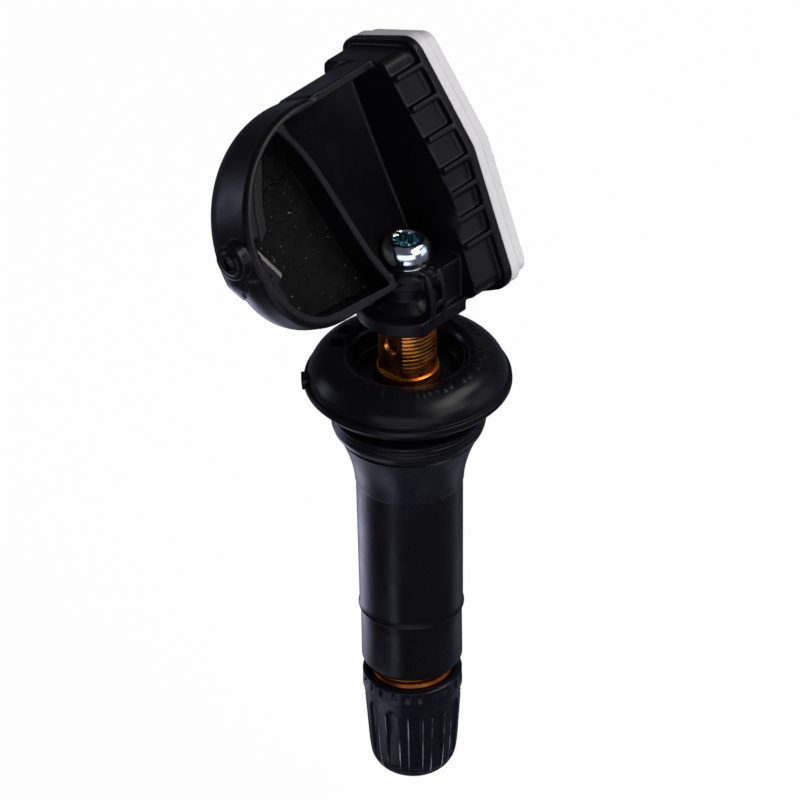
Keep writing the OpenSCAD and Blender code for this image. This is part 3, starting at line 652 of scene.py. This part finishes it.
def make_cap():
    side, foot = CAP_R - 0.14, CAP_R - 0.62
    pts = [(AXIS_R, CAP_END), (foot - DOME_R, CAP_END + 0.01)]
    pts += arc(foot - DOME_R, CAP_END + DOME_R, DOME_R, DOME_R, -90, -4, 19)[1:]
    pts += [(side, CAP_TOP - 1.86, 0.05), (CAP_R, CAP_TOP - 1.72, 0.06), (CAP_R, CAP_TOP - 0.12, 0.12),
            (CAP_R - 0.28, CAP_TOP, 0.08), (4.02, CAP_TOP, 0.06), (3.95, CAP_TOP - 0.5),
            (3.93, MOUTH - 0.5), (3.5, MOUTH - 0.9), (AXIS_R, MOUTH - 0.9)]
    prof = refine(fillet(pts, 5), 0.24)
    v, f = lathe(prof, CAP_STEPS, cap_shape)
    o = piece("fluted_cap", v, f, MATS["cap_plastic"], "cap_shell", ["valve_cap"])
    # The flute rims get the painted highlight.
    repaint(o, MATS["flute_rim_highlight"], on_flute_rim)


# Brass stem
BORE_R, BORE_START = 1.2, -28
RING_TOP = RECESS_FLOOR + RING_H
STEM_STEPS, HOLE_STEPS = 200, 48


def groove(a, z, pitch):
    """Depth of a right-handed thread's groove, 0 at its crest and 1 at its root."""
    t = ((z - a / (2 * math.pi) * pitch) / pitch) % 1
    return 1 - np.abs(2 * t - 1)


def on_threads(p, q):
    """Whether an edge of the stem's outline carries a thread."""
    on_post = min(p[1], q[1]) > RING_TOP - 0.1
    on_mouth = max(p[1], q[1]) < RUBBER_END + 1
    return min(p[0], q[0]) > 2.5 and (on_post or on_mouth)


def stem_shape(a, r, z):
    """Cuts the thread at the mouth, the fine one on the post, and the post's flat."""
    mouth = (z > MOUTH + 0.5) & (z < RUBBER_END - 0.05) & (r > 3.6)
    r = r - mouth * THREAD_DEPTH * groove(a, z, THREAD_PITCH) ** 0.9
    post = (z > RING_TOP + 0.3) & (z < POST_END - 0.3) & (r > POST_R - 0.1)
    r = r - post * POST_DEPTH * groove(a, z, POST_PITCH)
    flat = (z > RING_TOP + 0.01) & (r * np.cos(a) < FLAT_X) & (r > 1.9)
    return np.where(flat, FLAT_X / np.minimum(np.cos(a), -0.5), r), z


def air_hole():
    """Round cutter from the flat to the stem's axis."""
    turns = [2 * math.pi * k / HOLE_STEPS for k in range(HOLE_STEPS)]
    return cutter([(x, AIR_HOLE_R * math.cos(t) * MM, (AIR_HOLE_Z + AIR_HOLE_R * math.sin(t)) * MM)
                   for x in (-5 * MM, 0) for t in turns])


def make_stem():
    pts = [(BORE_R, BORE_START), (BORE_R, MOUTH + 0.5), (2.3, MOUTH, 0.1), (3.3, MOUTH, 0.1),
           (THREAD_R, MOUTH + 0.6, 0.05), (THREAD_R, RUBBER_END + 0.78, 0.02),
           (TUBE_R, RUBBER_END + 1.98), (TUBE_R, RING_TOP - 0.3, 0.05),
           (TUBE_R - 0.05, RING_TOP, 0.1), (POST_R, RING_TOP + 0.02, 0.02),
           (POST_R, POST_END - 0.25, 0.1), (POST_R - 0.2, POST_END, 0.05),
           (1.6, POST_END), (1.6, 7.0), (BORE_R, 6.6)]
    prof = refine(fillet(pts, 3), 0.09, on_threads)
    v, f = lathe(prof, STEM_STEPS, stem_shape)
    o = subtract(mesh_object("stem", v, f), air_hole(), "turned_stem")
    dress(o, MATS["stem_brass"], "sensor", ["brass_stem"])
    # The mouth's thread gets the darker brass with painted shade.
    repaint(o, MATS["shaded_mouth_brass"], lambda c: c[:, 2] < RUBBER_END + 1)


# Core spring
def make_spring():
    """A copy of the core's spring, with a mesh of its own."""
    src = nodes["core_spring"]
    o = put("pressed_spring", src.data.copy())
    o.matrix_world = src.matrix_world
    dress(o, MATS["spring_steel"], "sensor", ["core_spring"])
    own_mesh(o)


# Height of the housing's seat, and its place in the housing's own w and l, in millimetres
SEAT_TOP, SEAT_W, SEAT_L = 14.3, 3.6, 18.6

# Screw head
HEAD_H = HEAD_TOP - SEAT_TOP
HEAD_CROWN = SEAT_TOP + HEAD_H
CROWN_R, BELLY_R, WAIST = 1.5, HEAD_R + 0.22, 0.95
SHANK_R = 1.45
DRIVE_R, DRIVE_DEPTH = 1.3, 1.4
SCREW_STEPS = 168


def screw_shape(a, r, z):
    """Shapes the drive recess into six lobes."""
    inside = (r < DRIVE_R) & (z > HEAD_CROWN - DRIVE_DEPTH) & (z < HEAD_CROWN + 0.1)
    lobe = 0.5 + 0.5 * np.cos(6 * a)
    return np.where(inside, r * (0.68 + 0.3 * lobe ** 0.8), r), z


def in_drive(c):
    level = (c[:, 2] > HEAD_CROWN - DRIVE_DEPTH) & (c[:, 2] < HEAD_CROWN - 0.08)
    return level & (np.hypot(c[:, 0], c[:, 1]) < DRIVE_R)


def make_screw():
    bulge = BELLY_R - CROWN_R
    pts = [(AXIS_R, SEAT_TOP - 0.2), (SHANK_R, SEAT_TOP - 0.2), (SHANK_R, SEAT_TOP),
           (HEAD_R - 0.12, SEAT_TOP, 0.1)]
    pts += arc(CROWN_R, SEAT_TOP + WAIST, bulge, WAIST, -60, 0, 7)[:-1]
    pts += arc(CROWN_R, SEAT_TOP + WAIST, bulge, HEAD_H - WAIST, 0, 84, 14)
    pts += [(1.34, HEAD_CROWN, 0.06), (1.24, HEAD_CROWN - 0.1, 0.05), (1.12, HEAD_CROWN - 1.15, 0.1),
            (AXIS_R, HEAD_CROWN - 1.3)]
    prof = refine(fillet(pts, 4), 0.1)
    v, f = lathe(prof, SCREW_STEPS, screw_shape)
    o = piece("screw_head", v, f, MATS["screw_zinc"], "sensor", ["mounting_screw"])
    # The drive recess gets the darker zinc with painted shade.
    repaint(o, MATS["shaded_recess_zinc"], in_drive)


# Housing: its own x is the valve's, w runs back from its front and l runs down, in millimetres
TILT = math.radians(28.5)
HOUSING = (Matrix.Translation((0, 0, SEAT_TOP * MM)) @ Matrix.Rotation(-TILT, 4, "X")
           @ Matrix.Translation((0, -SEAT_W * MM, SEAT_L * MM)))
DRUM_FRONT, POCKET_FLOOR, DRUM_BACK = 1.9, 4.8, 9.2

# Centre in x and l, radius and edge rounding of the housing's two discs
DRUM = ((-6.4, 11.7), 11.4, 3.6)
HEEL = ((-10.708, 13.0), 6.9, 5.4)
RIM_WALL, RIM_ROUND = 0.45, 0.62

# The pocket's lower left edge, where the rim is wider
EDGE_L = (9.7, 13.05, 15.7, 17.2, 18.7)
EDGE_X = (-17.4, -15.65, -15.8, -15.1, -14.8)
SLOPE_END, SLOPE_WIDTH, SLOPE = 13.3, 0.9, 0.8

# Outline in x and l of what is cut back to the drum's front plane
WEB_CUT = ((-25, -6), (3.5, -6), (3.5, 18.2), (-3.62, 18.2), (-3.62, 20.3), (-25, 20.3))
WEB_CUT_FRONT = -9

VOXEL = 0.13 * MM
HOUSING_TRIANGLES = 190000


def moved(points, matrix):
    """Rows of points moved by a 4x4 matrix."""
    return points @ np.array(matrix.to_3x3()).T + np.array(matrix.translation)


def from_centre(disc, x, l):
    """Distance from a disc's centre."""
    return np.hypot(x - disc[0][0], l - disc[0][1])


def round_disc(loc, disc, keep):
    """Draws points that lie near a disc's faceted edge out to the true round one."""
    (cx, cl), radius, edge = disc
    x, w, l = loc[:, 0], loc[:, 1], -loc[:, 2]
    rho = np.hypot(x - cx, l - cl)
    k = np.clip(w - (DRUM_BACK - edge), 0, edge)
    core = radius - edge
    dist = np.hypot(np.maximum(rho - core, 1e-9), k)
    off = dist - edge
    near = np.clip((0.2 - np.abs(off)) / 0.06, 0, 1) * keep(x, w, l) * (rho > core + 0.3)
    gain = 1 - near * off / np.maximum(dist, 1e-9)
    new_rho = core + (rho - core) * gain
    ratio = np.where(near > 0, new_rho / np.maximum(rho, 1e-9), 1)
    loc[:, 0] = cx + (x - cx) * ratio
    loc[:, 2] = -(cl + (l - cl) * ratio)
    loc[:, 1] = np.where((near > 0) & (k > 0), DRUM_BACK - edge + k * gain, w)


def soft_rim(loc, disc, weight):
    """Rounds the front outer corner of a disc."""
    (cx, cl), radius, _ = disc
    x, w, l = loc[:, 0], loc[:, 1], -loc[:, 2]
    rho = np.hypot(x - cx, l - cl)
    u, v = rho - (radius - RIM_ROUND), DRUM_FRONT + RIM_ROUND - w
    out = np.hypot(u, v)
    corner = (u > 0) & (v > 0) & (out > RIM_ROUND) & (rho < radius + 0.25) & (w > DRUM_FRONT - 0.2)
    soft = np.clip((radius + 0.25 - rho) / 0.2, 0, 1)
    part = np.where(corner, soft * weight(x, l) * (1 - RIM_ROUND / np.maximum(out, 1e-9)), 0)
    ratio = (rho - u * part) / np.maximum(rho, 1e-9)
    loc[:, 0] = cx + (x - cx) * ratio
    loc[:, 2] = -(cl + (l - cl) * ratio)
    loc[:, 1] = w + v * part


def past_edge(x, l):
    """Distance in x from the pocket's lower left edge, towards the pocket's middle."""
    return x - np.interp(l, EDGE_L, EDGE_X)


def widen_rim(loc):
    """Fills the pocket's lower left corner up to the rim, with a sloped edge."""
    x, w, l = loc[:, 0], loc[:, 1], -loc[:, 2]
    area = (w > DRUM_FRONT + 0.02) & (w < POCKET_FLOOR + 0.12)
    area &= (l > EDGE_L[0]) & (l < EDGE_L[-1]) & (x < -12)
    area &= from_centre(DRUM, x, l) < DRUM[1] - RIM_WALL
    area &= from_centre(HEEL, x, l) < HEEL[1] - RIM_WALL
    d = past_edge(x, l)
    level = DRUM_FRONT + 0.03 + np.where(d > 0, d * SLOPE, 0)
    fill = area & (d < np.where(l < SLOPE_END, SLOPE_WIDTH, 0)) & (w > level)
    loc[:, 1] = np.where(fill, level, loc[:, 1])


def proud_web():
    """Prism over the web, which takes off what stands in front of the drum's front plane."""
    return cutter([HOUSING @ (Vector((x, w, -l)) * MM)
                   for w in (WEB_CUT_FRONT, DRUM_FRONT - 0.01) for x, l in WEB_CUT])


def local(c):
    """The housing's own x, w and l of points in millimetres."""
    q = moved(c * MM, HOUSING.inverted()) / MM
    return q[:, 0], q[:, 1], -q[:, 2]


def on_floor(c):
    """The sunk face inside the rim."""
    x, w, l = local(c)
    inside = from_centre(DRUM, x, l) < DRUM[1] - RIM_WALL
    inside &= (l < HEEL[0][1]) | (x > HEEL[0][0]) | (from_centre(HEEL, x, l) < HEEL[1] - RIM_WALL)
    inside &= (x < -4) & (l > 0.6) & (l < 19.6)
    return inside & (w > POCKET_FLOOR - 0.18) & (w < POCKET_FLOOR + 0.5)


def on_bank(c):
    """The pocket's left wall."""
    x, w, l = local(c)
    near = from_centre(DRUM, x, l) < DRUM[1] - 0.6
    return near & (w > DRUM_FRONT + 0.15) & (w < POCKET_FLOOR - 0.15) & (x < -11) & (l < 10.4)


def on_slope(c):
    """The sloped edge of the wider rim, painted pale as a highlight."""
    x, w, l = local(c)
    d = past_edge(x, l)
    edge = (d > 0) & (d < SLOPE_WIDTH + 0.02) & (l > 9.8) & (l < SLOPE_END) & (x < -14)
    return edge & (w > DRUM_FRONT + 0.06) & (w < 2.9)


def reshape_housing(o):
    """Makes the discs round, softens their rims and widens the rim at the pocket's corner."""
    co = np.zeros(len(o.data.vertices) * 3, np.float32)
    o.data.vertices.foreach_get("co", co)
    loc = moved(co.reshape(-1, 3), HOUSING.inverted()) / MM
    round_disc(loc, DRUM, lambda x, w, l: (l < DRUM[0][1] + 1.2) & (x < -3) & (w > DRUM_FRONT + 0.15))
    round_disc(loc, HEEL, lambda x, w, l: (l > HEEL[0][1] - 1) & (x < -6) & (w > DRUM_FRONT + 0.15))
    soft_rim(loc, DRUM, lambda x, l: np.clip((-2.5 - x) / 2, 0, 1) * np.clip(13.2 - l, 0, 1))
    soft_rim(loc, HEEL, lambda x, l: np.clip((-10 - x) / 2, 0, 1) * np.clip(l - 12.2, 0, 1))
    widen_rim(loc)
    co = moved(loc * MM, HOUSING)
    o.data.vertices.foreach_set("co", co.astype(np.float32).ravel())
    o.data.update()


def make_housing():
    o = subtract(put("housing", nodes["sensor_housing"].data.copy()), proud_web(), "housing_cut")
    m = o.modifiers.new("remesh", "REMESH")
    m.mode, m.voxel_size, m.use_smooth_shade = "VOXEL", VOXEL, True
    m = o.modifiers.new("smooth", "SMOOTH")
    m.factor, m.iterations = 0.5, 4
    o = baked(o, "housing_a")
    reshape_housing(o)
    count = sum(len(p.vertices) - 2 for p in o.data.polygons)
    m = o.modifiers.new("fewer", "DECIMATE")
    m.ratio = min(1.0, HOUSING_TRIANGLES / count)
    o = baked(o, "moulded_housing")
    dress(o, MATS["housing_plastic"], "sensor", ["sensor_housing"])
    # The sunk face gets the darker plastic with painted shade and painted glints.
    repaint(o, MATS["pocket_floor"], on_floor)
    # The pocket's left wall gets the lighter plastic with painted light.
    repaint(o, MATS["pocket_slope"], on_bank)
    # The sloped edge gets a painted highlight.
    repaint(o, MATS["slope_highlight"], on_slope)


make_rubber()
make_flash_tab()
make_cap()
make_stem()
make_spring()
make_screw()
make_housing()


# Stage and light
AMBIENT = 0.1
FLOOR_Z = (CAP_END - CAP_TRAVEL - 0.5) * MM
FLOOR_HALF = 3.0
FLOOR_COLOR = (0.86, 0.86, 0.87)
FLOOR_GLOW, FLOOR_WHITE = 0.14, 0.97
FRONT = Vector((BACK.x, BACK.y, 0)).normalized()
LAVENDER = (0.72, 0.72, 1.0)
ON_SENSOR = (0, 0, 0.02)

# Bright ovals that reflections find on the floor: turn in degrees, distance and size in metres, peak
OVALS = (
    (125, 0.060, (0.042, 0.038), 3.6),
    (38, 0.052, (0.034, 0.012), 2.8),
    (66, 0.027, (0.015, 0.022), 1.6),
    (6, 0.165, (0.10, 0.11), 3.0),
    (-118, 0.050, (0.034, 0.023), 0.4),
)


def floor_shader(m):
    """White to the camera, a dim table with bright ovals to reflections, and pale to other light."""
    m.use_nodes = True
    t = m.node_tree
    t.nodes.clear()

    def add(kind, **values):
        n = t.nodes.new(kind)
        for k, v in values.items():
            setattr(n, k, v)
        return n

    def put_in(socket, value):
        if isinstance(value, (float, tuple)):
            socket.default_value = value
        else:
            t.links.new(value, socket)

    def mix(fac, a, b):
        n = add("ShaderNodeMixShader")
        put_in(n.inputs["Fac"], fac)
        t.links.new(a, n.inputs[1])
        t.links.new(b, n.inputs[2])
        return n.outputs[0]

    def emission(color, strength):
        n = add("ShaderNodeEmission")
        put_in(n.inputs["Color"], (*color, 1))
        put_in(n.inputs["Strength"], strength)
        return n.outputs[0]

    coord = add("ShaderNodeTexCoord").outputs["Object"]

    def patch(turn, dist, size, peak):
        """Soft oval at an angle left of the view's front; size is along and across that way."""
        way = FRONT * math.cos(math.radians(turn)) - RIGHT * math.sin(math.radians(turn))
        mp = add("ShaderNodeMapping", vector_type="TEXTURE")
        put_in(mp.inputs["Location"], (way.x * dist, way.y * dist, FLOOR_Z))
        put_in(mp.inputs["Rotation"], (0, 0, math.atan2(way.y, way.x)))
        put_in(mp.inputs["Scale"], (*size, 1))
        put_in(mp.inputs["Vector"], coord)
        d = add("ShaderNodeVectorMath", operation="LENGTH")
        put_in(d.inputs[0], mp.outputs["Vector"])
        r = add("ShaderNodeMapRange", interpolation_type="SMOOTHSTEP")
        put_in(r.inputs["From Min"], 0.0)
        put_in(r.inputs["From Max"], 1.0)
        put_in(r.inputs["To Min"], peak)
        put_in(r.inputs["To Max"], 0.0)
        put_in(r.inputs["Value"], d.outputs["Value"])
        return r.outputs["Result"]

    diffuse = add("ShaderNodeBsdfDiffuse")
    put_in(diffuse.inputs["Color"], (*FLOOR_COLOR, 1))
    path = add("ShaderNodeLightPath")
    glow = FLOOR_GLOW
    for oval in OVALS:
        plus = add("ShaderNodeMath", operation="ADD")
        put_in(plus.inputs[0], patch(*oval))
        put_in(plus.inputs[1], glow)
        glow = plus.outputs[0]
    seen = mix(FLOOR_WHITE, diffuse.outputs[0], emission((1, 1, 1), 1.0))
    rest = mix(path.outputs["Is Glossy Ray"], diffuse.outputs[0], emission(LAVENDER, glow))
    out = add("ShaderNodeOutputMaterial")
    t.links.new(mix(path.outputs["Is Camera Ray"], rest, seen), out.inputs["Surface"])


def make_stage():
    corners = [(x * FLOOR_HALF, y * FLOOR_HALF, FLOOR_Z)
               for x, y in ((-1, -1), (1, -1), (1, 1), (-1, 1))]
    o = mesh_object("floor", corners, [(0, 1, 2, 3)])
    m = bpy.data.materials.new("floor")
    floor_shader(m)
    o.data.materials.append(m)


def lamp(name, direction, dist, size, power, color, aim=(0, 0, 0)):
    """Rectangular lamp in a direction from its aim, which it faces; lengths in metres."""
    data = bpy.data.lights.new(name, "AREA")
    data.shape = "RECTANGLE"
    data.size, data.size_y = size
    data.energy = power
    data.color = color
    o = put(name, data)
    d = Vector(direction).normalized()
    o.location = Vector(aim) + d * dist
    o.rotation_euler = d.to_track_quat("Z", "Y").to_euler()


def make_world():
    """White behind the part, and a dim light from all round."""
    w = bpy.data.worlds.new("studio")
    bpy.context.scene.world = w
    w.use_nodes = True
    t = w.node_tree
    path = t.nodes.new("ShaderNodeLightPath")
    add = t.nodes.new("ShaderNodeMath")
    add.operation, add.use_clamp = "ADD", True
    t.links.new(path.outputs["Is Camera Ray"], add.inputs[0])
    t.links.new(path.outputs["Is Transmission Ray"], add.inputs[1])
    mix = t.nodes.new("ShaderNodeMix")
    mix.data_type = "RGBA"
    mix.inputs["A"].default_value = (*(AMBIENT * c for c in LAVENDER), 1)
    mix.inputs["B"].default_value = (1, 1, 1, 1)
    t.links.new(add.outputs[0], mix.inputs["Factor"])
    t.links.new(mix.outputs["Result"], t.nodes["Background"].inputs["Color"])


def make_lamps():
    lamp("key", (0.32, -0.48, 0.8), 0.6, (0.5, 0.22), 2.1, (1.0, 0.97, 0.92))
    lamp("side", (0.05, -0.85, 0.52), 0.5, (0.3, 0.3), 0.8, (1.0, 0.97, 0.95), ON_SENSOR)
    lamp("left_strip", -RIGHT * 1.0 + UP * 0.1 - BACK * 0.3, 0.5, (0.14, 0.5), 0.6, LAVENDER)
    lamp("front_card", FRONT + Vector((0, 0, 0.1)), 0.5, (0.8, 0.3), 0.95, (0.94, 0.96, 1.0))
    lamp("glance", (0.61, -0.78, 0.16), 0.5, (0.3, 0.3), 0.3, (0.86, 0.88, 1.0), ON_SENSOR)


make_stage()
make_world()
make_lamps()
view = bpy.context.scene.view_settings
view.view_transform = "Standard"
